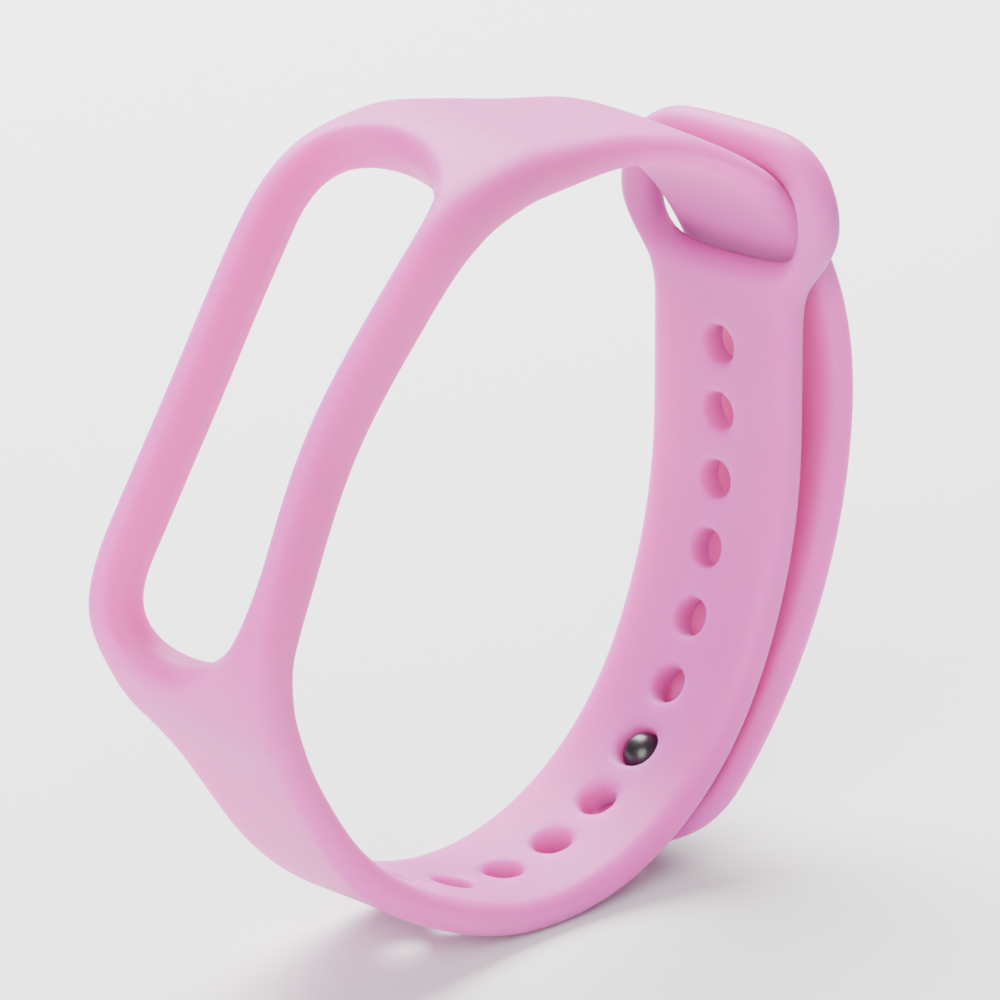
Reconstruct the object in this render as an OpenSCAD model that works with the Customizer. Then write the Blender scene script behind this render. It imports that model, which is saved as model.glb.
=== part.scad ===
// Silicone wrist band for a capsule-shaped fitness tracker, closed into a ring and standing on its underside.
// Millimetres, +Z up. The ring lies in the XZ plane, its width runs along Y, and the tracker frame faces -X.
// The origin is at the foot of the ring, midway between its leftmost and rightmost points.

/* [Strap] */
// Width of the plain strap
strap_w = 14.8; // [12:0.1:17]
// Thickness of the plain strap
strap_t = 2.8; // [2.2:0.1:3.2]
// Gap between the fastened tail and the strap that it is studded to
tail_gap = 0.3; // [0.25:0.05:0.6]

/* [Tracker frame] */
// Width across the frame
frame_w = 19.4; // [18:0.1:21]
// Depth of the frame's wall
frame_t = 5.2; // [4:0.1:6]
// Length of the tracker opening, measured along the curved frame
slot_l = 44.5; // [40:0.5:45]
// Width of the tracker opening
slot_w = 14.4; // [12:0.1:15]
// How far the retaining lip stands into the opening
lip_d = 0.5; // [0.3:0.1:0.8]
// Thickness of the retaining lip
lip_t = 1.6; // [0.8:0.1:1.8]

/* [Fastening holes] */
// Number of holes along the strap
hole_count = 12; // [8:1:12]
// Spacing of the holes
hole_pitch = 5.5; // [5:0.1:5.6]
// Diameter of a hole
hole_d = 3.2; // [3:0.1:3.6]
// Which hole the stud is in, counted from the keeper
used_hole = 7; // [7:1:7]

/* [Keeper] */
// Outer width of the keeper loop
keeper_w = 21.8; // [21:0.1:24]
// Height of the keeper loop's ring
keeper_h = 12.2; // [12:0.1:13]
// Thickness of the keeper loop
keeper_t = 3.4; // [3:0.1:4]
// Width of the keeper's window
window_w = 15.2; // [15.2:0.1:16]
// Height of the keeper's window
window_h = 7.4; // [7.2:0.1:8]
// How far the window's middle lies below the loop's middle
window_drop = 0.9; // [0.5:0.1:1]
// Radius of the loop's outer corners
keeper_r = 5; // [4:0.1:5.5]
// Radius of the window's corners
window_r = 3; // [2:0.1:3.4]

/* [Stud] */
// Diameter of the stud's pin
pin_d = 2.8; // [2.4:0.1:2.8]
// Diameter of the cap on the outside of the tail
cap_d = 8.4; // [7:0.1:9]
// Thickness of the cap
cap_t = 1; // [0.8:0.1:1.2]
// How far the cap is sunk into the tail
cap_sunk = 0.5; // [0.3:0.1:0.7]
// Diameter of the cap's spigot, which passes through the tail
spigot_d = 4.2; // [3.8:0.1:4.6]
// Diameter of the pin's tenon, which is pressed into the spigot
tenon_d = 2; // [1.6:0.1:2.2]
// Diameter of the pin's flange
flange_d = 5.6; // [5:0.1:6]
// Thickness of the pin's flange, which is sunk flush into the tail
flange_t = 0.6; // [0.5:0.1:0.8]
// How far the pin's tip stands out of the hole on the wrist side
pin_out = 0.3; // [0.2:0.1:0.6]

/* [Tail] */
// Length of the tail that peels away from its root
peel_l = 27; // [24:0.5:30]
// Gap round the knuckle at the tail's root
knuckle_gap = 0.5; // [0.4:0.1:0.8]

/* [Hidden] */
$fn = 64;
silicone = "#DE9CC4";
stud_black = "#2B2B2D";
half_t = strap_t / 2;
room = 60; // longer than any cut has to reach

// The centre line of the strap's thickness, as corners [x, z, radius of the rounding].
foot_corner = [12.1, -5, 24];
front_corners = [[26.8, 58, 0], [26.8, 23.2, 40.4], foot_corner];
frame_corners = [[-16.3, 6.33, 28], [-33.3, 29.6, 8], [-22.4, 47.9, 180], [-10, 63.7, 13.5], [34, 56.7, 25]];

// The tail ends on an arc around the same centre as the strap's foot, one thickness and a gap outside it.
foot_centre = fillet_centre(front_corners[1], foot_corner, frame_corners[0]);
seat_r = foot_corner[2] + strap_t + tail_gap;
seat_from = -47.9;
seat_to = -60.4;
tail_run = 17.2;
tail_r = 41;
seat_start = foot_centre + seat_r * [cos(seat_from), sin(seat_from)];
seat_corner = foot_centre + seat_r / cos((seat_from - seat_to) / 2)
    * [cos((seat_from + seat_to) / 2), sin((seat_from + seat_to) / 2)];
tail_corner = seat_start + tail_run * [-sin(seat_from), cos(seat_from)];
tail_end = foot_centre + seat_r * [cos(seat_to), sin(seat_to)];
tail_corners = [[tail_corner[0], tail_corner[1], tail_r], [seat_corner[0], seat_corner[1], seat_r],
                [tail_end[0], tail_end[1], 0]];
corners = concat(front_corners, frame_corners, tail_corners);

function flat(p) = [p[0], p[1]];
function unit(v) = v / norm(v);
function heading(a, b) = atan2(b[1] - a[1], b[0] - a[0]);
function wrap(a) = a > 180 ? a - 360 : (a < -180 ? a + 360 : a);
function turn(a, b, c) = wrap(heading(b, c) - heading(a, b));
function tangent_l(a, b, c) = b[2] * abs(tan(turn(a, b, c) / 2));
function fillet_centre(a, b, c) = flat(b) + b[2] / cos(turn(a, b, c) / 2)
    * unit(unit(flat(a) - flat(b)) + unit(flat(c) - flat(b)));

// The centre line as runs of [length, degrees turned per mm].
tangents = [for (i = [0 : len(corners) - 1]) i == 0 || i == len(corners) - 1 ? 0
    : tangent_l(corners[i - 1], corners[i], corners[i + 1])];
runs = [for (i = [0 : len(corners) - 2], k = [0, 1])
    k == 0 ? [norm(flat(corners[i + 1]) - flat(corners[i])) - tangents[i] - tangents[i + 1], 0]
    : (i == len(corners) - 2 ? [0, 0] : arc_run(corners[i], corners[i + 1], corners[i + 2]))];
function arc_run(a, b, c) = [abs(turn(a, b, c)) * PI / 180 * b[2],
                             sign(turn(a, b, c)) * 180 / (PI * b[2])];

// A place on the centre line is [x, z, heading].
function step(at, run, l) = run[1] == 0
    ? [at[0] + l * cos(at[2]), at[1] + l * sin(at[2]), at[2]]
    : let (r = 180 / (PI * run[1]), h = at[2] + l * run[1])
      [at[0] + r * (sin(h) - sin(at[2])), at[1] - r * (cos(h) - cos(at[2])), h];
function place(s, i = 0, at = [corners[0][0], corners[0][1], heading(corners[0], corners[1])]) =
    i == len(runs) - 1 || s <= runs[i][0] ? step(at, runs[i], s)
    : place(s - runs[i][0], i + 1, step(at, runs[i], runs[i][0]));
function before(i) = i <= 0 ? 0 : runs[i - 1][0] + before(i - 1);

// The holes are evenly spaced along the strap's inner face, which is shorter than the centre line in a bend.
function inner_share(i) = 1 - half_t * abs(runs[i][1]) * PI / 180;
function centre_s(inner, i = 0) = inner <= runs[i][0] * inner_share(i) ? inner / inner_share(i)
    : runs[i][0] + centre_s(inner - runs[i][0] * inner_share(i), i + 1);
function hole_place(number) = centre_s(first_hole + (number - 1) * hole_pitch);

// Distances along the centre line, from the top of the keeper.
total_l = before(len(runs));
keeper_foot = keeper_h + 1.6;
window_room = 0.15;
first_hole = 18.3;
stud_s = hole_place(used_hole);
frame_mid = before(9) + runs[9][0] / 2 - 0.9;
plain_half = slot_l / 2 - 6;
foot_flare = 17;
tongue_flare = 24;
lip_low = -0.5;
frame_from = frame_mid - plain_half - foot_flare;
frame_to = frame_mid + plain_half + tongue_flare;
tail_peel_s = total_l - peel_l;
knuckle_step = 0.1;

// Puts its children at a distance along the centre line: X along it, Z away from the wrist.
module at_place(s) {
    p = place(s);
    translate([p[0], 0, p[1]]) rotate([0, -p[2], 0]) children();
}

// The plain strap between two distances along the centre line, with fully rounded edges.
module strap(from, to) {
    steps = ceil((to - from) / 2); // one ring every 2 mm or less
    sweep([for (i = [0 : steps]) [from + (to - from) * i / steps, strap_w / 2, -half_t, half_t]], half_t);
}

// A solid swept along the centre line from rings of [distance, half width, low, high].
module sweep(rings, corner_r) {
    loop = [for (q = [0 : 3], k = [0 : 3]) [q, q * 90 + k * 30]];
    n = len(loop);
    points = [for (ring = rings)
        let (p = place(ring[0]), r = min(corner_r, 0.96 * ring[1], 0.48 * (ring[3] - ring[2])))
        for (c = loop)
            let (y = (c[0] == 0 || c[0] == 3 ? 1 : -1) * (ring[1] - r) + r * cos(c[1]),
                 z = (c[0] < 2 ? ring[3] - r : ring[2] + r) + r * sin(c[1]))
            [p[0] - z * sin(p[2]), y, p[1] + z * cos(p[2])]];
    sides = [for (i = [0 : len(rings) - 2], k = [0 : n - 1])
        [i * n + k, (i + 1) * n + k, (i + 1) * n + (k + 1) % n, i * n + (k + 1) % n]];
    polyhedron(points, concat([[for (k = [0 : n - 1]) k]], sides,
        [[for (k = [n - 1 : -1 : 0]) (len(rings) - 1) * n + k]]));
}

// Eases from 0 to 1 as x goes from 0 to 1.
function ease(x) = let (c = max(0, min(1, x))) c * c * (3 - 2 * c);

// Half the width of the opening, at a distance u along the frame from its middle.
function slot_half(u, l, w) = let (past = max(0, abs(u) - (l - w) / 2)) sqrt(max(0, w * w / 4 - past * past));

// Distances along the opening from its middle: they are closer together where the outline is round.
function slot_stations(l, w) =
    let (ends = 10,
         round_part = [for (k = [0 : ends]) (l - w) / 2 + w / 2 * sin(k * 88 / ends)],
         straight_part = [for (k = [-2 : 2]) k * (l - w) / 6])
    concat([for (k = [ends : -1 : 0]) -round_part[k]], straight_part, round_part);

// The opening's outline as a closed loop of [u, y]: out along one side and back along the other.
function slot_outline(l, w) =
    let (side = [for (u = slot_stations(l, w)) [u, slot_half(u, l, w)]])
    concat(side, [for (k = [len(side) - 1 : -1 : 0]) [side[k][0], -side[k][1]]]);

// The point at a distance along the centre line, y across it and z away from the wrist.
function on_line(s, y, z) = let (p = place(s)) [p[0] - z * sin(p[2]), y, p[1] + z * cos(p[2])];

// The solid that cuts the opening out of the frame, with edges in its walls where the rib's faces meet them.
module slot_plug() {
    levels = [-frame_t, lip_low, lip_low + lip_t, frame_t];
    section = concat([for (z = levels) [1, z]], [for (k = [len(levels) - 1 : -1 : 0]) [-1, levels[k]]]);
    n = len(section);
    stations = slot_stations(slot_l, slot_w);
    last = (len(stations) - 1) * n;
    points = [for (u = stations, c = section)
        on_line(frame_mid + u, c[0] * slot_half(u, slot_l, slot_w), c[1])];
    sides = [for (i = [0 : len(stations) - 2], k = [0 : n - 1])
        [i * n + k, (i + 1) * n + k, (i + 1) * n + (k + 1) % n, i * n + (k + 1) % n]];
    polyhedron(points, concat([[for (k = [0 : n - 1]) k]], sides, [[for (k = [n - 1 : -1 : 0]) last + k]]));
}

// The frame and its flares: the full width and depth beside the opening, easing to the strap at both ends.
module capsule_frame() {
    steps = 44;
    color(silicone) difference() {
        sweep([for (i = [0 : steps])
            let (s = frame_from + (frame_to - frame_from) * i / steps,
                 u = s - frame_mid,
                 e = ease(1 - (abs(u) - plain_half) / (u < 0 ? foot_flare : tongue_flare)),
                 t = strap_t + (frame_t - strap_t) * e,
                 w = strap_w + (frame_w - strap_w) * e)
            [s, w / 2, -t / 2, t / 2]], half_t);
        slot_plug();
    }
}

// The rib round the opening's wall, which the tracker's groove snaps onto: a closed loop of four-sided rings.
module capsule_lip() {
    outer = slot_outline(slot_l, slot_w);
    inner = slot_outline(slot_l - 2 * lip_d, slot_w - 2 * lip_d);
    n = len(outer);
    high = lip_low + lip_t;
    points = [for (i = [0 : n - 1])
        for (c = [[outer[i], high], [inner[i], high], [inner[i], lip_low], [outer[i], lip_low]])
            on_line(frame_mid + c[0][0], c[0][1], c[1])];
    sides = [for (i = [0 : n - 1], k = [0 : 3])
        let (next = (i + 1) % n)
        [i * 4 + k, next * 4 + k, next * 4 + (k + 1) % 4, i * 4 + (k + 1) % 4]];
    color(silicone) polyhedron(points, sides);
}

module hole() {
    cylinder(d = hole_d, h = 2 * strap_t, center = true);
}

module hole_strap() {
    color(silicone) difference() {
        strap(keeper_foot, frame_from);
        for (i = [1 : hole_count]) at_place(hole_place(i)) hole();
        translate([-room / 2, -room / 2, -room]) cube(room);
    }
}

module rounded(w, h, r) {
    square([w - 2 * r, h], center = true);
    square([w, h - 2 * r], center = true);
    for (x = [-1, 1], y = [-1, 1]) translate([x * (w / 2 - r), y * (h / 2 - r)]) circle(r);
}

// The ring that holds the tongue, with its window cut back where the tongue slants through it.
module keeper_loop() {
    tongue_in = 185;
    tongue_out = 204;
    half_way = half_t + window_room;
    color(silicone) difference() {
        translate([corners[0][0] - keeper_t / 2, 0, corners[0][1] - keeper_h / 2])
            rotate([90, 0, 90]) linear_extrude(keeper_t) difference() {
                union() {
                    rounded(keeper_w, keeper_h, keeper_r);
                    translate([-strap_w / 2, keeper_h / 2 - keeper_foot])
                        square([strap_w, keeper_foot - keeper_r]);
                }
                translate([0, -window_drop]) rounded(window_w, window_h, window_r);
            }
        sweep([for (s = [tongue_in : tongue_out]) [s, window_w / 2, -half_way, half_way]], half_t);
    }
}

module tongue_strap() {
    color(silicone) difference() {
        strap(frame_to, tail_peel_s);
        at_place(tail_peel_s) rotate([90, 0, 0])
            cylinder(r = half_t + knuckle_gap, h = 2 * strap_w, center = true);
    }
}

module tongue_tail() {
    color(silicone) difference() {
        union() {
            intersection() {
                strap(tail_peel_s, total_l);
                tip_outline();
            }
            at_place(tail_peel_s) rotate([90, 0, 0])
                cylinder(r = half_t - knuckle_step, h = strap_w - 1.2 * strap_t, center = true);
        }
        at_stud() {
            translate([0, 0, -strap_t]) cylinder(d = cap_d, h = half_t + cap_sunk);
            cylinder(d = spigot_d, h = 2 * strap_t, center = true);
            translate([0, 0, half_t - flange_t]) cylinder(d = flange_d, h = 2 * flange_t);
        }
    }
}

// A block round the tail whose end is a half circle as wide as the strap.
module tip_outline() {
    at_place(total_l) translate([-strap_w / 2, 0, 0]) {
        cylinder(d = strap_w, h = room, center = true);
        translate([-room / 2, -strap_w / 2, -room / 2]) cube([room / 2, strap_w, room]);
    }
}

// Puts its children on the tail over the used hole, with Z towards the wrist from the middle of the tail.
module at_stud() {
    p = place(stud_s);
    translate([p[0], 0, p[1]]) rotate([0, 180 - p[2], 0])
        translate([0, 0, -strap_t - tail_gap]) children();
}

module stud_cap() {
    color(stud_black) at_stud() translate([0, 0, -half_t]) difference() {
        union() {
            translate([0, 0, cap_sunk - cap_t]) cylinder(d = cap_d, h = cap_t);
            cylinder(d = spigot_d, h = strap_t - flange_t);
        }
        translate([0, 0, cap_sunk]) cylinder(d = tenon_d, h = strap_t);
    }
}

module stud_pin() {
    reach = half_t + tail_gap + strap_t + pin_out;
    color(stud_black) at_stud() {
        translate([0, 0, cap_sunk - half_t]) cylinder(d = tenon_d, h = strap_t - cap_sunk - flange_t);
        translate([0, 0, half_t - flange_t]) cylinder(d = flange_d, h = flange_t);
        translate([0, 0, half_t]) cylinder(d = pin_d, h = reach - half_t - pin_d / 2);
        translate([0, 0, reach - pin_d / 2]) sphere(d = pin_d);
    }
}

capsule_frame();
capsule_lip();
hole_strap();
keeper_loop();
tongue_strap();
tongue_tail();
stud_cap();
stud_pin();
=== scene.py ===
"""Looks of a pink silicone wrist band for a fitness tracker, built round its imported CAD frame.

The row frame is in metres, +Z up: the closed ring lies in the XZ plane, its width runs along Y, and the
tracker's frame faces -X. The silicone is modelled flat in millimetres, as a sheet that is given its
outline, its openings and its thickness, and is then bent round the strap's centre line and smoothed.
While it is flat, X is the distance along the centre line, Y lies across it and Z points away from the wrist.
"""

import logging
import math
from collections.abc import Callable
from dataclasses import dataclass, field
from enum import Enum

import bmesh
import bpy
from mathutils import Matrix, Vector


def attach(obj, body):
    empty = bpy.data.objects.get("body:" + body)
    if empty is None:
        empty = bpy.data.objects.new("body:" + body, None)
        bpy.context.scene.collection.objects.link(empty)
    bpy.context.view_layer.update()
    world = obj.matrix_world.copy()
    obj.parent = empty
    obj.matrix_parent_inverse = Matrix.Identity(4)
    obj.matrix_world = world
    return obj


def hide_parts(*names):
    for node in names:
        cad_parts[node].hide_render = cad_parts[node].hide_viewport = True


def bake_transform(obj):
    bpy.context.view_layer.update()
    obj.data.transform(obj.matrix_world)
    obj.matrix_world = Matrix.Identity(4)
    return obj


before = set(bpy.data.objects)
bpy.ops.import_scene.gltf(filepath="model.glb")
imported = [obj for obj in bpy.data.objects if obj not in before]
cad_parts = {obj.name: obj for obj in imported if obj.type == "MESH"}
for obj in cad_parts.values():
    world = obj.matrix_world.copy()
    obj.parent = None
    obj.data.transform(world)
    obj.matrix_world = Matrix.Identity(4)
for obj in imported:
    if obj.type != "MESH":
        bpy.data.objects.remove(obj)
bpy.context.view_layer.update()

log = logging.getLogger("band")

MM = 0.001
NEAR = 0.01  # millimetres: two places closer than this are the same
UPRIGHT = 0.5  # a face whose normal rises less than this is a wall
SILICONE_SMOOTH = 60  # degrees: faces that meet at less than this are shaded as one surface
STUD_SMOOTH = 40


def ease(share: float) -> float:
    """Returns 0 to 1, smoothly, as share goes from 0 to 1."""
    held = min(1.0, max(0.0, share))
    return held * held * (3 - 2 * held)


def bump(at: float, middle: float, reach: float) -> float:
    """Returns 1 at the middle, falling smoothly to 0 at a reach to either side."""
    return ease(1 - abs(at - middle) / reach)


def spaced(start: float, end: float, step: float) -> list[float]:
    """Lists even places after start, up to and including end.

    Args:
        start: where the stretch begins; it isn't in the list.
        end: where the stretch ends.
        step: the largest spacing allowed.

    Returns:
        The places in order.
    """
    count = max(1, math.ceil((end - start) / step - 1e-6))
    return [start + (end - start) * (i + 1) / count for i in range(count)]


# ---------------------------------------------------------------- the strap's centre line


@dataclass(frozen=True)
class Corner:
    """A corner of the centre line in the XZ plane, with the radius that rounds it, in millimetres."""

    x: float
    z: float
    radius: float = 0.0


@dataclass(frozen=True)
class Place:
    """A point on the centre line, in millimetres, and the line's heading there, in radians."""

    x: float
    z: float
    heading: float

    def moved(self, length: float, turn: float) -> "Place":
        """Goes on along the line.

        Args:
            length: how far to go.
            turn: how fast the line turns to the left, in radians per millimetre.

        Returns:
            The place that is reached.
        """
        if turn == 0:
            return Place(
                self.x + length * math.cos(self.heading),
                self.z + length * math.sin(self.heading),
                self.heading,
            )
        end = self.heading + length * turn
        return Place(
            self.x + (math.sin(end) - math.sin(self.heading)) / turn,
            self.z - (math.cos(end) - math.cos(self.heading)) / turn,
            end,
        )


class CentreLine:
    """The middle of the strap's thickness, from the top of the keeper round to the tail's tip."""

    def __init__(self, ring: list[Corner], tail_gap: float, strap_t: float) -> None:
        """Lays the line out as straight runs joined by arcs.

        Args:
            ring: the corners from the keeper's top round to where the tongue comes down again.
            tail_gap: the gap between the fastened tail and the strap under it.
            strap_t: the strap's thickness.
        """
        self.strap_t = strap_t
        corners = ring + self._tail(ring, tail_gap)
        self.start = Place(corners[0].x, corners[0].z, self._heading(corners[0], corners[1]))
        self.runs = self._runs(corners)
        self.length = sum(length for length, _ in self.runs)

    @staticmethod
    def _heading(a: Corner, b: Corner) -> float:
        """Returns the direction from a to b, in radians."""
        return math.atan2(b.z - a.z, b.x - a.x)

    @classmethod
    def _turn(cls, a: Corner, b: Corner, c: Corner) -> float:
        """Returns how far the line turns at b, to the left as positive."""
        turn = cls._heading(b, c) - cls._heading(a, b)
        return math.remainder(turn, math.tau)

    def _tail(self, ring: list[Corner], tail_gap: float) -> list[Corner]:
        """Lays out the tail, which lands on an arc round the centre of the strap's foot.

        Args:
            ring: the corners before the tail's.
            tail_gap: the gap between the fastened tail and the strap under it.

        Returns:
            The tail's corners.
        """
        a, foot, c = ring[1], ring[2], ring[3]
        turn = self._turn(a, foot, c)
        to_a = Vector((a.x - foot.x, a.z - foot.z)).normalized()
        to_c = Vector((c.x - foot.x, c.z - foot.z)).normalized()
        centre = Vector((foot.x, foot.z)) + (to_a + to_c).normalized() * foot.radius / math.cos(turn / 2)
        radius = foot.radius + self.strap_t + tail_gap
        first, last = math.radians(SEAT_FROM), math.radians(SEAT_TO)
        start = centre + radius * Vector((math.cos(first), math.sin(first)))
        end = centre + radius * Vector((math.cos(last), math.sin(last)))
        middle, half = (first + last) / 2, (first - last) / 2
        seat = centre + radius / math.cos(half) * Vector((math.cos(middle), math.sin(middle)))
        drop = start + TAIL_RUN * Vector((-math.sin(first), math.cos(first)))
        return [Corner(*drop, TAIL_RADIUS), Corner(*seat, radius), Corner(*end)]

    def _runs(self, corners: list[Corner]) -> list[tuple[float, float]]:
        """Rounds the corners.

        Args:
            corners: every corner of the line, in order.

        Returns:
            Straight runs and arcs by turns, as pairs of length and turn per millimetre.
        """
        last = len(corners) - 1
        turns = [
            0.0 if i in (0, last) else self._turn(corners[i - 1], corners[i], corners[i + 1])
            for i in range(len(corners))
        ]
        tangents = [c.radius * abs(math.tan(t / 2)) for c, t in zip(corners, turns)]
        runs = []
        for i in range(last):
            gap = math.hypot(corners[i + 1].x - corners[i].x, corners[i + 1].z - corners[i].z)
            runs.append((gap - tangents[i] - tangents[i + 1], 0.0))
            if i + 1 < last:
                radius = corners[i + 1].radius
                runs.append((abs(turns[i + 1]) * radius, math.copysign(1 / radius, turns[i + 1])))
        return runs

    def at(self, distance: float) -> Place:
        """Finds a place on the line.

        Args:
            distance: how far along it the place is.

        Returns:
            The place.
        """
        place = self.start
        for length, turn in self.runs:
            if distance <= length:
                break
            place = place.moved(length, turn)
            distance -= length
        return place.moved(distance, turn)

    def from_inner(self, inner: float) -> float:
        """Turns a distance along the strap's inner face to one along the line.

        Args:
            inner: the distance along the inner face, which is the shorter one in a bend.

        Returns:
            The distance along the line.
        """
        along = 0.0
        for length, turn in self.runs:
            share = 1 - abs(turn) * self.strap_t / 2
            if inner <= length * share:
                return along + inner / share
            inner -= length * share
            along += length
        return along

    def as_curve(self) -> bpy.types.Object:
        """Draws the line for the Curve modifier to follow.

        Returns:
            A flat curve object, in millimetres.
        """
        data = bpy.data.curves.new("centre_line", "CURVE")
        data.dimensions = "2D"
        spline = data.splines.new("POLY")
        count = math.ceil(self.length / CURVE_STEP)
        spline.points.add(count)
        for i, point in enumerate(spline.points):
            place = self.at(self.length * i / count)
            point.co = (place.x, place.z, 0, 1)
        curve = bpy.data.objects.new("centre_line", data)
        bpy.context.scene.collection.objects.link(curve)
        return curve


# The tail's seat on the strap's foot, in degrees round the foot's centre, and the bend that leads to it.
SEAT_FROM = -47.9
SEAT_TO = -60.4
TAIL_RUN = 17.2
TAIL_RADIUS = 41
CURVE_STEP = 0.4
# From the top of the keeper down the strap, round the foot, up the tracker frame and over to the keeper.
RING_CORNERS = [
    Corner(26.8, 58),
    Corner(26.8, 23.2, 40.4),
    Corner(12.1, -5, 24),
    Corner(-16.3, 6.33, 28),
    Corner(-33.3, 29.6, 8),
    Corner(-22.4, 47.9, 180),
    Corner(-10, 63.7, 13.5),
    Corner(34, 56.7, 25),
]


# ---------------------------------------------------------------- modelling, as by hand


def deselect() -> None:
    """Leaves object mode with nothing selected."""
    if bpy.context.mode != "OBJECT":
        bpy.ops.object.mode_set(mode="OBJECT")
    bpy.ops.object.select_all(action="DESELECT")


def activate(piece: bpy.types.Object) -> None:
    """Makes a piece the only selected object, and the active one."""
    deselect()
    piece.select_set(True)
    bpy.context.view_layer.objects.active = piece


def pick_faces(piece: bpy.types.Object, wanted: Callable[[bpy.types.MeshPolygon], bool]) -> None:
    """Enters edit mode on a piece with only the wanted faces selected.

    Args:
        piece: the mesh object.
        wanted: says whether a face is selected, from its place or normal.
    """
    activate(piece)
    bpy.ops.object.mode_set(mode="EDIT")
    bpy.ops.mesh.select_mode(type="FACE")
    bpy.ops.mesh.select_all(action="DESELECT")
    bpy.ops.object.mode_set(mode="OBJECT")
    for face in piece.data.polygons:
        face.select = wanted(face)
    bpy.ops.object.mode_set(mode="EDIT")


def pick_edges(piece: bpy.types.Object, wanted: Callable[[Vector, Vector], bool]) -> None:
    """Enters edit mode on a piece with only the wanted edges selected.

    Args:
        piece: the mesh object.
        wanted: says whether an edge is selected, from its two ends.
    """
    activate(piece)
    bpy.ops.object.mode_set(mode="EDIT")
    bpy.ops.mesh.select_mode(type="EDGE")
    bpy.ops.mesh.select_all(action="DESELECT")
    bpy.ops.object.mode_set(mode="OBJECT")
    points = piece.data.vertices
    for edge in piece.data.edges:
        a, b = edge.vertices
        edge.select = wanted(points[a].co, points[b].co)
    bpy.ops.object.mode_set(mode="EDIT")


def move_points(piece: bpy.types.Object, rule: Callable[[Vector], Vector]) -> None:
    """Moves every point of a mesh.

    Args:
        piece: the mesh object.
        rule: says where a point goes, from its place.
    """
    deselect()
    for point in piece.data.vertices:
        point.co = rule(point.co.copy())
    piece.data.update()


def apply_modifier(piece: bpy.types.Object, kind: str, **settings: object) -> None:
    """Adds a modifier with its settings and applies it.

    Args:
        piece: the object.
        kind: the modifier's type, such as "SUBSURF".
        **settings: the modifier's values, by name.
    """
    activate(piece)
    modifier = piece.modifiers.new(kind.title(), kind)
    for name, value in settings.items():
        setattr(modifier, name, value)
    bpy.ops.object.modifier_apply(modifier=modifier.name)


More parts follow.
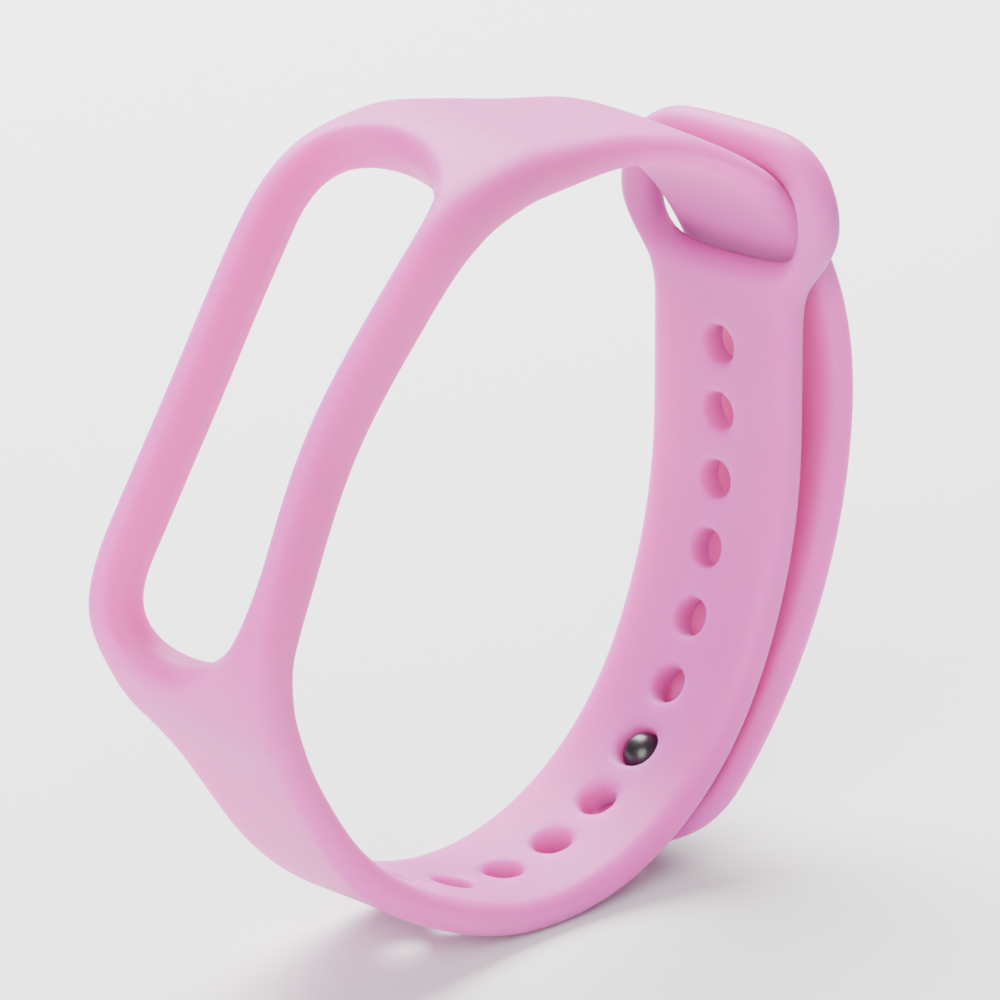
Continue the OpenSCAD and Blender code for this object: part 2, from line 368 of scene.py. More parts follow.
class Sheet:
    """A flat grid of a moulding in millimetres: X runs along the centre line, Y across it."""

    def __init__(self, name: str, columns: list[float], rows: list[float], seam: float) -> None:
        """Adds the grid.

        Args:
            name: the piece's name.
            columns: the places of the cuts along it, in order.
            rows: the places of the cuts across it, from the middle outwards.
            seam: the end that meets another piece and stays flat.
        """
        self.columns = columns
        self.rows = rows
        self.seam = seam
        across = len(rows) - 1
        deselect()
        bpy.ops.mesh.primitive_grid_add(
            x_subdivisions=len(columns) - 1, y_subdivisions=2 * across, size=2
        )
        self.piece = bpy.context.object
        self.piece.name = name
        self.piece.data.name = name

    def place(self, rule: Callable[[int, int], tuple[float, float]]) -> None:
        """Moves each crossing to its place in the outline.

        Args:
            rule: gives X and Y from the column's number and the row's number, 0 being the middle.
        """
        steps = len(self.columns) - 1
        across = len(self.rows) - 1

        def settle(co: Vector) -> Vector:
            """Returns where one crossing goes."""
            row = round(co.y * across)
            x, y = rule(round((co.x + 1) / 2 * steps), abs(row))
            return Vector((x, math.copysign(y, row), 0))

        move_points(self.piece, settle)

    def open_up(self, inside: Callable[[Vector], bool]) -> None:
        """Deletes the faces that lie in an opening.

        Args:
            inside: says whether a face's centre is in it.
        """
        pick_faces(self.piece, lambda face: inside(face.center))
        bpy.ops.mesh.delete(type="FACE")
        deselect()

    def drill(self, x: float, cell: float, ring: float, radius: float) -> None:
        """Makes a round hole in the four faces round a crossing on the middle line.

        Args:
            x: the hole's place.
            cell: half the cell's length.
            ring: how wide a ring of faces is left round the hole.
            radius: the radius of the eight points round the hole.
        """
        pick_faces(self.piece, lambda face: abs(face.center.x - x) < cell and abs(face.center.y) < cell)
        bpy.ops.mesh.inset(thickness=ring, depth=0)
        bpy.ops.object.mode_set(mode="OBJECT")
        middle = Vector((x, 0, 0))
        chosen = {i for face in self.piece.data.polygons if face.select for i in face.vertices}
        for i in chosen:
            point = self.piece.data.vertices[i]
            away = point.co - middle
            if away.length > NEAR:
                point.co = middle + away.normalized() * radius
        bpy.ops.object.mode_set(mode="EDIT")
        bpy.ops.mesh.delete(type="FACE")
        deselect()

    def thicken(self, levels: list[float]) -> None:
        """Gives the sheet its thickness.

        Args:
            levels: the heights that it is extruded through, from the lowest to the highest.
        """
        move_points(self.piece, lambda co: Vector((co.x, co.y, levels[0])))
        activate(self.piece)
        bpy.ops.object.mode_set(mode="EDIT")
        bpy.ops.mesh.select_mode(type="FACE")
        bpy.ops.mesh.select_all(action="SELECT")
        for low, high in zip(levels, levels[1:]):
            bpy.ops.mesh.extrude_region_move(TRANSFORM_OT_translate={"value": (0, 0, high - low)})
        bpy.ops.mesh.select_all(action="SELECT")
        bpy.ops.mesh.normals_make_consistent(inside=False)
        deselect()

    def draw_in_rims(self, pull: Callable[[Vector], float]) -> None:
        """Draws the rims of both faces back from the walls, which rounds the edges once smoothed.

        Args:
            pull: how far a rim point is drawn in, from its place.
        """
        mesh = bmesh.new()
        mesh.from_mesh(self.piece.data)
        mesh.normal_update()
        moves = []
        for point in mesh.verts:
            upright = [face for face in point.link_faces if abs(face.normal.z) < UPRIGHT]
            walls = [face.normal for face in upright if not self.at_seam(face.calc_center_median())]
            if walls and len(upright) < len(point.link_faces):
                out = sum(walls, Vector()).normalized()
                moves.append((point, out * pull(point.co)))
        for point, move in moves:
            point.co -= move
        mesh.to_mesh(self.piece.data)
        mesh.free()

    def at_seam(self, co: Vector) -> bool:
        """Says whether a place is on the cut where the ring and the tail meet."""
        return abs(co.x - self.seam) < NEAR

    def sharpen_seam(self) -> None:
        """Creases the outline of the cut, so that smoothing leaves it flat."""
        pick_faces(self.piece, lambda face: self.at_seam(face.center))
        bpy.ops.mesh.region_to_loop()
        bpy.ops.transform.edge_crease(value=1)
        deselect()

    def bend(self, line: CentreLine) -> None:
        """Bends the flat moulding round the centre line and stands it up.

        Args:
            line: the centre line.
        """
        deselect()
        turn = Matrix.Rotation(-math.pi / 2, 4, "X")
        self.piece.data.transform(turn)
        curve = line.as_curve()
        apply_modifier(self.piece, "CURVE", object=curve, deform_axis="POS_X")
        bpy.data.objects.remove(curve)
        self.piece.data.transform(turn.inverted())

    def finish(self, level: int) -> bpy.types.Object:
        """Presses the foot flat, turns the moulding to metres and smooths it.

        Args:
            level: how many times it is subdivided.

        Returns:
            The finished piece.
        """
        move_points(self.piece, lambda co: Vector((co.x, co.y, max(co.z, 0))) * MM)
        apply_modifier(self.piece, "SUBSURF", levels=level, render_levels=level)
        activate(self.piece)
        bpy.ops.object.shade_smooth_by_angle(angle=math.radians(SILICONE_SMOOTH))
        deselect()
        return self.piece


# ---------------------------------------------------------------- the silicone moulding


@dataclass
class StrapSection:
    """The plain strap's section, and the cuts that every silicone piece shares, in millimetres."""

    width: float = 14.8
    thickness: float = 2.8
    tail_gap: float = 0.3
    edge_pull: float = 0.9
    rows: list[float] = field(default_factory=lambda: [0, 2.75, 5.3, 7.4])
    levels: list[float] = field(default_factory=lambda: [-1, -0.45, 0.45, 1])
    column_step: float = 2.3
    seam: float = 199.4
    seam_slant: float = 2.4
    seam_reach: float = 6.0

    def slant(self, co: Vector) -> Vector:
        """Slants the seam, so that the keeper hides it, from a point whose Z is still its level."""
        share = ease(1 - abs(co.x - self.seam) / self.seam_reach)
        return Vector((co.x - self.seam_slant * co.z * share, co.y, co.z))


@dataclass
class RingMoulding:
    """Keeper, hole strap, tracker frame and tongue: one silicone moulding, modelled flat."""

    line: CentreLine
    section: StrapSection
    hole_count: int = 12
    hole_pitch: float = 5.5
    first_hole: float = 18.3
    hole_ring: float = 0.75
    hole_radius: float = 1.62
    used_hole: int = 6
    stretched: float = 1.92
    hole_pull: float = 0.25
    hole_room: float = 2.5
    frame_middle: float = 136.24
    frame_width: float = 19.4
    frame_depth: float = 5.2
    frame_plain: float = 16.25
    foot_flare: float = 17.0
    tongue_flare: float = 24.0
    frame_pull: float = 0.7
    slot_length: float = 44.5
    slot_width: float = 14.4
    slot_step: float = 2.6
    slot_pull: float = 0.4
    wall_room: tuple[float, float] = (0.5, 0.3)
    lip_depth: float = 0.4
    lip_margin: float = 0.25
    web: float = 25.0
    keeper_end: float = 14.0
    keeper_depth: float = 3.6
    keeper_pull: float = 1.1
    shoulder_end: float = 15.5
    shoulder: float = 5.0
    near_bow: float = 1.4
    far_bow: float = 0.5
    bow_at: float = -2.0
    bow_reach: float = 17.0
    end_shift: float = 2.0
    end_reach: float = 10.0
    rim_hold: float = 1.6
    foot_twist: float = 1.2
    foot_twist_at: float = 97.0
    foot_twist_reach: float = 17.0
    tongue_twist: float = -1.4
    tongue_twist_at: float = 161.0
    tongue_twist_reach: float = 15.0
    tongue_rounding: float = 0.9
    tongue_rounding_at: float = 185.0
    neck: float = 0.5
    far_thinning: float = 0.28
    far_thinning_reach: float = 12.0
    # The keeper's crossings: one list for each column, and one pair of X and Y for each row outwards.
    keeper_net: list[list[tuple[float, float]]] = field(
        default_factory=lambda: [
            [(0, 0), (0, 3.4), (0.2, 6.6), (2.0, 9.3)],
            [(3.4, 0), (3.4, 3.4), (4.0, 6.9), (4.5, 10.6)],
            [(5.9, 0), (5.9, 3.4), (6.0, 7.8), (6.3, 11.0)],
            [(8.3, 0), (8.3, 3.4), (8.3, 7.8), (8.5, 10.9)],
            [(11.0, 0), (11.0, 3.4), (10.4, 7.0), (10.9, 9.4)],
            [(13.2, 0), (13.2, 3.0), (13.2, 5.4), (13.0, 7.5)],
        ]
    )

    def hole_places(self) -> list[float]:
        """Lists the holes' places along the centre line: they are evenly spaced on the inner face."""
        return [
            self.line.from_inner(self.first_hole + number * self.hole_pitch)
            for number in range(self.hole_count)
        ]

    def _corner(self) -> float:
        """Returns how far from the frame's middle the grid's corner of the opening lies."""
        half = self.slot_width / 2
        return self.slot_length / 2 - half + half * math.cos(math.radians(45))

    def columns(self) -> list[float]:
        """Lists the cuts along the moulding, from the keeper's top to the seam under the tail."""
        holes = self.hole_places()
        between = [(a + b) / 2 for a, b in zip(holes, holes[1:])]
        before = holes[0] - (between[0] - holes[0])
        after = holes[-1] + (holes[-1] - between[-1])
        cells = [before, *[x for pair in zip(holes, between) for x in pair], holes[-1], after]
        half = self.slot_width / 2
        straight = self.slot_length / 2 - half
        oblique = straight + half * math.cos(math.radians(67.5))
        corner = self._corner()
        inside = spaced(-straight, straight, self.slot_step)
        opening = [-corner, -oblique, -straight, *inside, oblique, corner]
        middle = self.frame_middle
        step = self.section.column_step
        return [
            *[row[0][0] for row in self.keeper_net],
            *cells,
            *spaced(after, middle - self.web, step),
            *[middle + u for u in opening],
            *spaced(middle + self.web - step, self.section.seam, step),
        ]

    def _flare(self, s: float) -> float:
        """Grades the tracker frame's flares.

        Args:
            s: a distance along the centre line.

        Returns:
            0 on the plain strap and 1 beside the opening.
        """
        u = s - self.frame_middle
        reach = self.foot_flare if u < 0 else self.tongue_flare
        return ease(1 - (abs(u) - self.frame_plain) / reach)

    def half_width(self, s: float) -> float:
        """Returns half the width across the strap or frame."""
        plain = self.section.width / 2
        return plain + (self.frame_width / 2 - plain) * self._flare(s)

    def depth(self, s: float) -> float:
        """Grades the thickness of the keeper, strap and frame.

        Args:
            s: a distance along the centre line.

        Returns:
            The thickness there.
        """
        plain = self.section.thickness
        keeper = (self.keeper_depth - plain) * ease((self.shoulder_end - s) / self.shoulder)
        return plain + keeper + (self.frame_depth - plain) * self._flare(s)

    def crossing(self, column: int, row: int) -> tuple[float, float]:
        """Returns where a crossing of the grid lies in the flat outline.

        Args:
            column: its column's number.
            row: its row's number, 0 being the middle line.

        Returns:
            Its distance along and across the moulding.
        """
        if column < len(self.keeper_net):
            return self.keeper_net[column][row]
        s = self.columns_made[column]
        u = s - self.frame_middle
        plain = self.section.rows[row]
        half = self.slot_width / 2
        straight = self.slot_length / 2 - half
        if row == 3:
            return s, self.half_width(s)
        if abs(abs(u) - self._corner()) < NEAR:
            y = half * math.sin(math.radians(22.5 * row))
            return self.frame_middle + math.copysign(straight + math.sqrt(half * half - y * y), u), y
        if row == 2 and abs(u) < self._corner():
            past = max(0.0, abs(u) - straight)
            return s, math.sqrt(half * half - past * past)
        return s, plain

    def _rim_pull(self, co: Vector) -> float:
        """Rounds each rim by its own amount.

        Args:
            co: a rim point's place.

        Returns:
            How far the point is drawn in.
        """
        y = abs(co.y)
        if co.x < self.keeper_end:
            return self.keeper_pull
        if y < self.hole_room and co.x < self.frame_middle - self.web:
            return self.hole_pull
        along, across = self.wall_room
        in_slot = abs(co.x - self.frame_middle) < self.slot_length / 2 + along
        if in_slot and y < self.slot_width / 2 + across:
            return self.slot_pull
        plain = self.section.edge_pull
        return plain + (self.frame_pull - plain) * self._flare(co.x)

    def _settle(self, co: Vector) -> Vector:
        """Lets the empty soft band settle: the bars bow, and the frame's two ends twist a little.

        Args:
            co: the point's place in the even moulding.

        Returns:
            Its place in the settled one.
        """
        u = co.x - self.frame_middle
        half = self.half_width(co.x)
        near = (1 - co.y / half) / 2
        inwards = self.near_bow if co.y < 0 else -self.far_bow
        shift = inwards * bump(u, self.bow_at, self.bow_reach)
        inside = ease(self.rim_hold * (1 - abs(co.y) / half))
        shift += self.end_shift * inside * bump(abs(u), self.slot_length / 2, self.end_reach)
        foot = near * near * bump(co.x, self.foot_twist_at, self.foot_twist_reach)
        tongue = near * near * bump(co.x, self.tongue_twist_at, self.tongue_twist_reach)
        far = (1 - near) * (1 - near) * bump(u, self.slot_length / 2, self.far_thinning_reach)
        height = co.z * (1 - self.far_thinning * far) + self.foot_twist * foot + self.tongue_twist * tongue
        if co.z > 0:
            rounding = bump(co.x, self.tongue_rounding_at, self.tongue_twist_reach)
            height -= self.tongue_rounding * near * near * rounding
        return Vector((co.x, co.y + shift + self.neck * foot, height))

    def _add_lip(self, sheet: Sheet) -> None:
        """Raises the fine rib round the opening's wall that the tracker snaps behind."""
        along, across = self.wall_room
        half_length = self.slot_length / 2 + along
        half_width = self.slot_width / 2 + across
        middle_ring = self.section.levels[2]

        def on_wall(face: bpy.types.MeshPolygon) -> bool:
            """Says whether a face is in the middle ring of the opening's wall."""
            at = face.center
            near = abs(at.x - self.frame_middle) < half_length and abs(at.y) < half_width
            return near and abs(face.normal.z) < UPRIGHT and abs(at.z) < middle_ring

        pick_faces(sheet.piece, on_wall)
        bpy.ops.mesh.inset(thickness=self.lip_margin, depth=self.lip_depth)
        deselect()

    def build(self) -> bpy.types.Object:
        """Models the moulding flat, bends it and returns the finished piece."""
        self.columns_made = self.columns()
        sheet = Sheet("silicone_band", self.columns_made, self.section.rows, self.section.seam)
        sheet.place(self.crossing)
        window = self.keeper_net
        sheet.open_up(
            lambda c: window[1][0][0] < c.x < window[4][0][0] and abs(c.y) < window[2][2][1] - 1
        )
        sheet.open_up(
            lambda c: abs(c.x - self.frame_middle) < self._corner() and abs(c.y) < self.slot_width / 2 - 1
        )
        for number, x in enumerate(self.hole_places()):
            radius = self.stretched if number == self.used_hole else self.hole_radius
            sheet.drill(x, self.hole_pitch / 2, self.hole_ring, radius)
        sheet.thicken(self.section.levels)
        sheet.draw_in_rims(self._rim_pull)
        self._add_lip(sheet)
        sheet.sharpen_seam()
        move_points(sheet.piece, self.section.slant)
        move_points(sheet.piece, lambda co: Vector((co.x, co.y, co.z * self.depth(co.x) / 2)))
        move_points(sheet.piece, self._settle)
        sheet.bend(self.line)
        return sheet.finish(2)


@dataclass
class TailMoulding:
    """The free length of the tongue, from the seam inside the keeper to its round tip."""

    line: CentreLine
    section: StrapSection
    tip_columns: int = 3
    root_heading: tuple[float, float, float] = (-0.32, 0.0, -0.95)
    bend_half: float = 6.0

    def crossing(self, column: int, row: int) -> tuple[float, float]:
        """Returns where a crossing of the grid lies in the flat outline, whose end is a half circle.

        Args:
            column: its column's number.
            row: its row's number, 0 being the middle line.

        Returns:
            Its distance along and across the moulding.
        """
        half = self.section.width / 2
        middle = self.line.length - half
        y = self.section.rows[row]
        past = column - (len(self.columns_made) - 1 - self.tip_columns)
        if past <= 0:
            return self.columns_made[column], y
        share = past / self.tip_columns
        if row == 3:
            angle = math.radians(90 - 36 * share)
            return middle + half * math.cos(angle), half * math.sin(angle)
        angle = math.radians(18 * row)
        end_x, end_y = half * math.cos(angle), half * math.sin(angle)
        return middle + share * end_x, y + share * (end_y - y)

    def build(self) -> bpy.types.Object:
        """Models the tail flat, bends it and returns the finished piece."""
        root, end = self.section.seam, self.line.length
        middle = end - self.section.width / 2
        self.columns_made = [
            root,
            *spaced(root, middle, self.section.column_step),
            *[middle + (end - middle) * (i + 1) / self.tip_columns for i in range(self.tip_columns)],
        ]
        sheet = Sheet("silicone_tail", self.columns_made, self.section.rows, root)
        sheet.place(self.crossing)
        sheet.thicken(self.section.levels)
        sheet.draw_in_rims(lambda co: self.section.edge_pull)
        sheet.sharpen_seam()
        move_points(sheet.piece, self.section.slant)
        half = self.section.thickness / 2
        move_points(sheet.piece, lambda co: Vector((co.x, co.y, co.z * half)))
        sheet.bend(self.line)
        return sheet.finish(2)


# ---------------------------------------------------------------- the stud


@dataclass
class Stud:
    """The dark stud: a cap outside the tail and a domed pin that stands in the used hole."""

    line: CentreLine
    section: StrapSection
    place: float
    pin_diameter: float = 3.3
    pin_out: float = 0.1
    cap_diameter: float = 8.4
    cap_thickness: float = 1.0
    cap_sunk: float = 0.5
    flange_diameter: float = 5.6
    flange_thickness: float = 0.65
    flange_out: float = 0.05
    flange_bevel: float = 0.2
    dome_share: float = 0.92
    dome_segments: int = 10
    dish_rim: float = 1.0
    dish_slope: float = 0.5
    dish_depth: float = 0.2
    cap_bevel: float = 0.35

    def _turned(self, piece: bpy.types.Object) -> bpy.types.Object:
        """Stands a turned part on the tail, with its Z axis towards the wrist, and smooths it.

        Args:
            piece: the part, made on the Z axis in millimetres.

        Returns:
            The same piece, in metres.
        """
        place = self.line.at(self.place)
        outwards = Vector((-math.sin(place.heading), 0, math.cos(place.heading)))
        middle = Vector((place.x, 0, place.z)) + outwards * (self.section.thickness + self.section.tail_gap)
        turn = Vector((0, 0, 1)).rotation_difference(-outwards).to_matrix().to_4x4()
        deselect()
        piece.data.transform(Matrix.Scale(MM, 4) @ Matrix.Translation(middle) @ turn)
        activate(piece)
        bpy.ops.object.shade_smooth_by_angle(angle=math.radians(STUD_SMOOTH))
        deselect()
        return piece

    def _disc(self, name: str, radius: float, low: float, high: float) -> bpy.types.Object:
        """Adds a round bar on the Z axis.

        Args:
            name: the piece's name.
            radius: its radius.
            low: where it starts.
            high: where it ends.

        Returns:
            The piece, with its location applied.
        """
        deselect()
        bpy.ops.mesh.primitive_cylinder_add(
            vertices=64, radius=radius, depth=high - low, location=(0, 0, (low + high) / 2)
        )
        piece = bpy.context.object
        piece.name = name
        bpy.ops.object.transform_apply(location=True, rotation=True, scale=True)
        return piece

    def build_pin(self) -> bpy.types.Object:
        """Models the pin, with its flange in the tail and its dome in the hole.

        Returns:
            The pin in its place.
        """
        half = self.section.thickness / 2
        tip = half + self.section.tail_gap + self.section.thickness + self.pin_out
        radius = self.pin_diameter / 2
        pin = self._disc("stud_pin_dome", radius, -half + self.cap_sunk, tip)
        pick_edges(pin, lambda a, b: min(a.z, b.z) > tip - NEAR)
        bpy.ops.mesh.bevel(offset=radius * self.dome_share, segments=self.dome_segments, profile=0.5)
        bpy.ops.object.mode_set(mode="OBJECT")
        face = half + self.flange_out
        flange = self._disc("flange", self.flange_diameter / 2, half - self.flange_thickness, face)
        pick_edges(flange, lambda a, b: min(a.z, b.z) > half)
        bpy.ops.mesh.bevel(offset=self.flange_bevel, segments=3)
        deselect()
        flange.select_set(True)
        pin.select_set(True)
        bpy.context.view_layer.objects.active = pin
        bpy.ops.object.join()
        return self._turned(pin)

    def build_cap(self) -> bpy.types.Object:
        """Models the cap, a disc with a soft edge and a shallow dish.

        Returns:
            The cap in its place.
        """
        half = self.section.thickness / 2
        low = -half + self.cap_sunk - self.cap_thickness
        radius = self.cap_diameter / 2
        cap = self._disc("stud_cap_disc", radius, low, -half + self.cap_sunk)
        pick_faces(cap, lambda face: face.normal.z < -UPRIGHT)
        bpy.ops.mesh.inset(thickness=self.dish_rim, depth=0)
        bpy.ops.mesh.inset(thickness=self.dish_slope, depth=-self.dish_depth)

        def on_rim(a: Vector, b: Vector) -> bool:
            """Says whether an edge is on the outer face's rim."""
            return max(a.z, b.z) < low + NEAR and min(a.xy.length, b.xy.length) > radius - NEAR

        pick_edges(cap, on_rim)
        bpy.ops.mesh.bevel(offset=self.cap_bevel, segments=4)
        return self._turned(cap)


# ---------------------------------------------------------------- finishes


def linear(code: str) -> tuple[float, float, float, float]:
    """Turns a colour to the renderer's own scale.

    Args:
        code: an sRGB hex colour, such as "#C856AA".

    Returns:
        The linear colour, with full alpha.
    """
    parts = [int(code[i : i + 2], 16) / 255 for i in (1, 3, 5)]
    return (*[p / 12.92 if p <= 0.04045 else ((p + 0.055) / 1.055) ** 2.4 for p in parts], 1.0)


def add_node(
    material: bpy.types.Material,
    kind: str,
    settings: dict[str, object] | None = None,
    links: dict[str, bpy.types.NodeSocket] | None = None,
) -> bpy.types.Node:
    """Adds one shader node.

    Args:
        material: the material it goes in.
        kind: the node's type, such as "ShaderNodeTexNoise".
        settings: values for its properties or its inputs, by name.
        links: output sockets that feed its inputs, by the input's name.

    Returns:
        The node.
    """
    node = material.node_tree.nodes.new(kind)
    for name, value in (settings or {}).items():
        if name in node.inputs:
            node.inputs[name].default_value = value
        else:
            setattr(node, name, value)
    for name, socket in (links or {}).items():
        material.node_tree.links.new(socket, node.inputs[name])
    return node


def new_material(name: str) -> tuple[bpy.types.Material, bpy.types.Node]:
    """Adds an empty node material.

    Args:
        name: the material's name.

    Returns:
        The material and its output node.
    """
    material = bpy.data.materials.new(name)
    material.use_nodes = True
    material.node_tree.nodes.clear()
    return material, material.node_tree.nodes.new("ShaderNodeOutputMaterial")


@dataclass(frozen=True)
class MouldedSilicone:
    """Liquid silicone rubber, moulded against a bead-blasted tool: matt, soft and a little see-through."""

    name: str = "moulded_silicone"
    body: str = "#C856AA"
    deep: str = "#BB4A9B"
    bloom: str = "#F3E4F2"
    scatter_mm: tuple[float, float, float] = (8.0, 2.8, 5.0)
    roughness: float = 0.5
    shine: float = 0.32
    powder: float = 0.05
    drift_mm: float = 18.0
    drift_share: float = 0.35
    grain_mm: float = 0.25
    grain_depth_mm: float = 0.05
    grain_relief: float = 0.12
    seam_mm: tuple[float, float] = (28.0, 49.0)
    seam_reach_mm: tuple[float, float] = (2.5, 7.0)

    def make(self) -> bpy.types.Material:
        """Returns the material."""
        material, output = new_material(self.name)
        place = add_node(material, "ShaderNodeTexCoord").outputs["Object"]
        # Slow drifts of pigment over a few centimetres, which keep large faces from looking flat.
        drift = add_node(
            material,
            "ShaderNodeTexNoise",
            {"Scale": 1 / (self.drift_mm * MM), "Detail": 2.0, "Roughness": 0.4},
            {"Vector": place},
        )
        colour = add_node(material, "ShaderNodeMix", {"data_type": "RGBA"})
        colour.inputs[6].default_value = linear(self.body)
        colour.inputs[7].default_value = linear(self.deep)
        share = add_node(
            material,
            "ShaderNodeMapRange",
            {"From Min": 0.3, "From Max": 0.7, "To Min": 0.0, "To Max": self.drift_share},
            {"Value": drift.outputs["Fac"]},
        )
        material.node_tree.links.new(share.outputs["Result"], colour.inputs[0])
        # The blasted tool's grain, drawn a little coarser than life so that it shows.
        grain = add_node(
            material,
            "ShaderNodeTexNoise",
            {"Scale": 1 / (self.grain_mm * MM), "Detail": 3.0, "Roughness": 0.6},
            {"Vector": place},
        )
        sheen = add_node(
            material,
            "ShaderNodeMapRange",
            {"To Min": self.roughness - 0.06, "To Max": self.roughness + 0.08},
            {"Value": grain.outputs["Fac"]},
        )
        relief = add_node(
            material,
            "ShaderNodeBump",
            {"Strength": self.grain_relief, "Distance": self.grain_depth_mm * MM},
            {"Height": grain.outputs["Fac"]},
        )
        # Light can't scatter across the cut between two pieces, so the scattering fades out beside it.
        level = add_node(material, "ShaderNodeVectorMath", {"operation": "MULTIPLY"}, {"Vector": place})
        level.inputs[1].default_value = (1, 0, 1)
        away = add_node(
            material,
            "ShaderNodeVectorMath",
            {"operation": "DISTANCE"},
            {"Vector": level.outputs["Vector"]},
        )
        away.inputs[1].default_value = (self.seam_mm[0] * MM, 0, self.seam_mm[1] * MM)
        scatter = add_node(
            material,
            "ShaderNodeMapRange",
            {
                "From Min": self.seam_reach_mm[0] * MM,
                "From Max": self.seam_reach_mm[1] * MM,
            },
            {"Value": away.outputs["Value"]},
        )
        surface = add_node(
            material,
            "ShaderNodeBsdfPrincipled",
            {
                "IOR": 1.41,
                "Subsurface Radius": self.scatter_mm,
                "Subsurface Scale": MM,
                "Specular IOR Level": self.shine,
                "Sheen Weight": self.powder,
                "Sheen Roughness": 0.5,
                "Sheen Tint": linear(self.bloom),
            },
            {
                "Base Color": colour.outputs[2],
                "Subsurface Weight": scatter.outputs["Result"],
                "Roughness": sheen.outputs["Result"],
                "Normal": relief.outputs["Normal"],
            },
        )
        material.node_tree.links.new(surface.outputs["BSDF"], output.inputs["Surface"])
        return material


@dataclass(frozen=True)
class PolishedPlastic:
    """Glass-filled nylon from a polished tool: near black, with a clear soft gloss."""

    name: str = "polished_nylon"
    colour: str = "#0E100F"
    roughness: float = 0.32
    flow_mm: float = 0.6
    flow_depth_mm: float = 0.03

    def make(self) -> bpy.types.Material:
        """Returns the material."""
        material, output = new_material(self.name)
        place = add_node(material, "ShaderNodeTexCoord").outputs["Object"]
        flow = add_node(
            material,
            "ShaderNodeTexNoise",
            {"Scale": 1 / (self.flow_mm * MM), "Detail": 3.0},
            {"Vector": place},
        )
        gloss = add_node(
            material,
            "ShaderNodeMapRange",
            {"To Min": self.roughness - 0.06, "To Max": self.roughness + 0.1},
            {"Value": flow.outputs["Fac"]},
        )
        relief = add_node(
            material,
            "ShaderNodeBump",
            {"Strength": 0.08, "Distance": self.flow_depth_mm * MM},
            {"Height": flow.outputs["Fac"]},
        )
        surface = add_node(
            material,
            "ShaderNodeBsdfPrincipled",
            {"Base Color": linear(self.colour), "IOR": 1.53},
            {"Roughness": gloss.outputs["Result"], "Normal": relief.outputs["Normal"]},
        )
        material.node_tree.links.new(surface.outputs["BSDF"], output.inputs["Surface"])
        return material


@dataclass(frozen=True)
class PaperSweep:
    """A matt pale paper sweep."""

    name: str = "paper_sweep"
    colour: str = "#EDEDED"

    def make(self) -> bpy.types.Material:
        """Returns the material."""
        material, output = new_material(self.name)
        surface = add_node(
            material,
            "ShaderNodeBsdfPrincipled",
            {"Base Color": linear(self.colour), "Roughness": 0.85, "Specular IOR Level": 0.2},
        )
        material.node_tree.links.new(surface.outputs["BSDF"], output.inputs["Surface"])
        return material


class Finish(Enum):
    """The finishes by the name that a piece asks for."""

    SILICONE = MouldedSilicone()
    STUD = PolishedPlastic()
    PAPER = PaperSweep()


def dress(piece: bpy.types.Object, material: bpy.types.Material) -> None:
    """Gives a piece its material.

    Args:
        piece: the mesh object.
        material: its material.
    """
    piece.data.materials.clear()
    piece.data.materials.append(material)


# ---------------------------------------------------------------- the studio


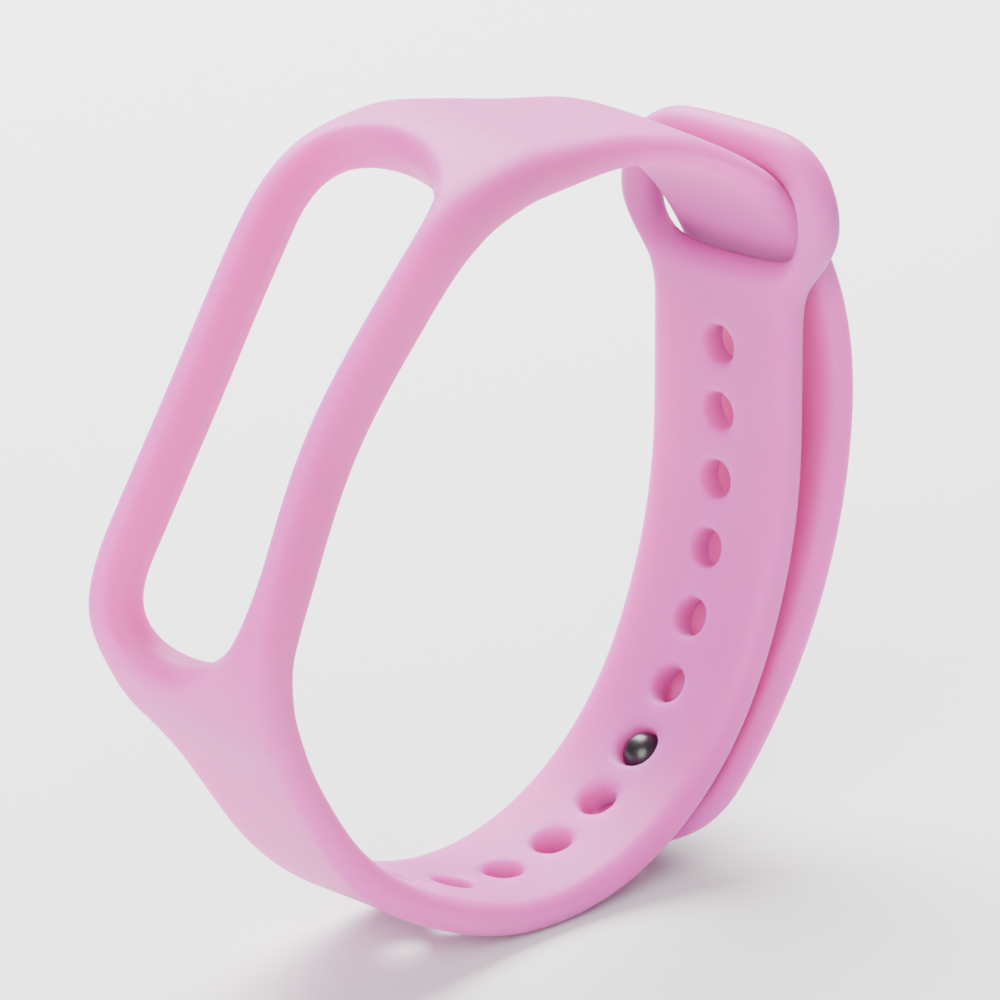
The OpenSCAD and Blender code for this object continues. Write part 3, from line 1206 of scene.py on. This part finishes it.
@dataclass
class Studio:
    """A pale floor, large soft lights and the camera."""

    eye: tuple[float, float, float] = (-0.46955, -0.4562, 0.2613)
    yaw: float = 45.9
    pitch: float = 19.2
    lens: float = 327.35
    sensor: float = 36.0

    def floor(self, material: bpy.types.Material) -> None:
        """Lays a large sheet of paper under the band.

        Args:
            material: the paper's material.
        """
        deselect()
        bpy.ops.mesh.primitive_plane_add(size=6)
        paper = bpy.context.object
        paper.name = "floor"
        dress(paper, material)

    def camera(self) -> None:
        """Sets the camera up."""
        data = bpy.data.cameras.new("camera")
        data.sensor_width = self.sensor
        data.lens = self.lens
        data.clip_start = 0.01
        camera = bpy.data.objects.new("camera", data)
        bpy.context.scene.collection.objects.link(camera)
        yaw, pitch = math.radians(self.yaw), math.radians(self.pitch)
        forward = Vector(
            (math.sin(yaw) * math.cos(pitch), math.cos(yaw) * math.cos(pitch), -math.sin(pitch))
        )
        camera.location = self.eye
        camera.rotation_euler = forward.to_track_quat("-Z", "Y").to_euler()
        bpy.context.scene.camera = camera

    def softbox(self, name: str, place: tuple[float, float, float], size: float, power: float) -> None:
        """Adds a square softbox that faces the middle of the band.

        Args:
            name: the light's name.
            place: where it stands, in metres.
            size: its side, in metres.
            power: its power, in watts.
        """
        data = bpy.data.lights.new(name, "AREA")
        data.shape = "SQUARE"
        data.size = size
        data.energy = power
        light = bpy.data.objects.new(name, data)
        bpy.context.scene.collection.objects.link(light)
        light.location = place
        aim = Vector((0, 0, 0.03)) - Vector(place)
        light.rotation_euler = aim.to_track_quat("-Z", "Y").to_euler()

    def light(self) -> None:
        """Lights the band from the tracker frame's side and from above and behind, in a pale room."""
        world = bpy.data.worlds.new("pale_room")
        bpy.context.scene.world = world
        world.use_nodes = True
        shade = world.node_tree.nodes["Background"]
        shade.inputs["Color"].default_value = linear("#F4F5F6")
        shade.inputs["Strength"].default_value = 0.42
        self.softbox("key", (-0.6, -0.28, 0.34), 0.55, 10)
        self.softbox("back", (0.2, 0.3, 0.5), 0.5, 16)


def main() -> None:
    """Builds the band, dresses it and sets the studio up."""
    logging.basicConfig(level=logging.INFO, format="%(name)s: %(message)s")
    studio = Studio()
    studio.camera()
    section = StrapSection()
    line = CentreLine(RING_CORNERS, section.tail_gap, section.thickness)
    materials = {finish: finish.value.make() for finish in Finish}

    ring = RingMoulding(line, section)
    band = ring.build()
    dress(band, materials[Finish.SILICONE])
    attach(band, "band")
    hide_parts("capsule_frame", "capsule_lip", "hole_strap", "keeper_loop", "tongue_strap")
    log.info("%s: %d faces", band.name, len(band.data.polygons))

    free_end = TailMoulding(line, section)
    tail = free_end.build()
    dress(tail, materials[Finish.SILICONE])
    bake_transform(tail)
    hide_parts("tongue_tail")
    log.info("%s: %d faces", tail.name, len(tail.data.polygons))

    stud = Stud(line, section, ring.hole_places()[ring.used_hole])
    for piece, node in ((stud.build_pin(), "stud_pin"), (stud.build_cap(), "stud_cap")):
        dress(piece, materials[Finish.STUD])
        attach(piece, "tail")
        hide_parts(node)
        log.info("%s: %d faces", piece.name, len(piece.data.polygons))

    studio.floor(materials[Finish.PAPER])
    studio.light()


if __name__ == "__main__":
    main()
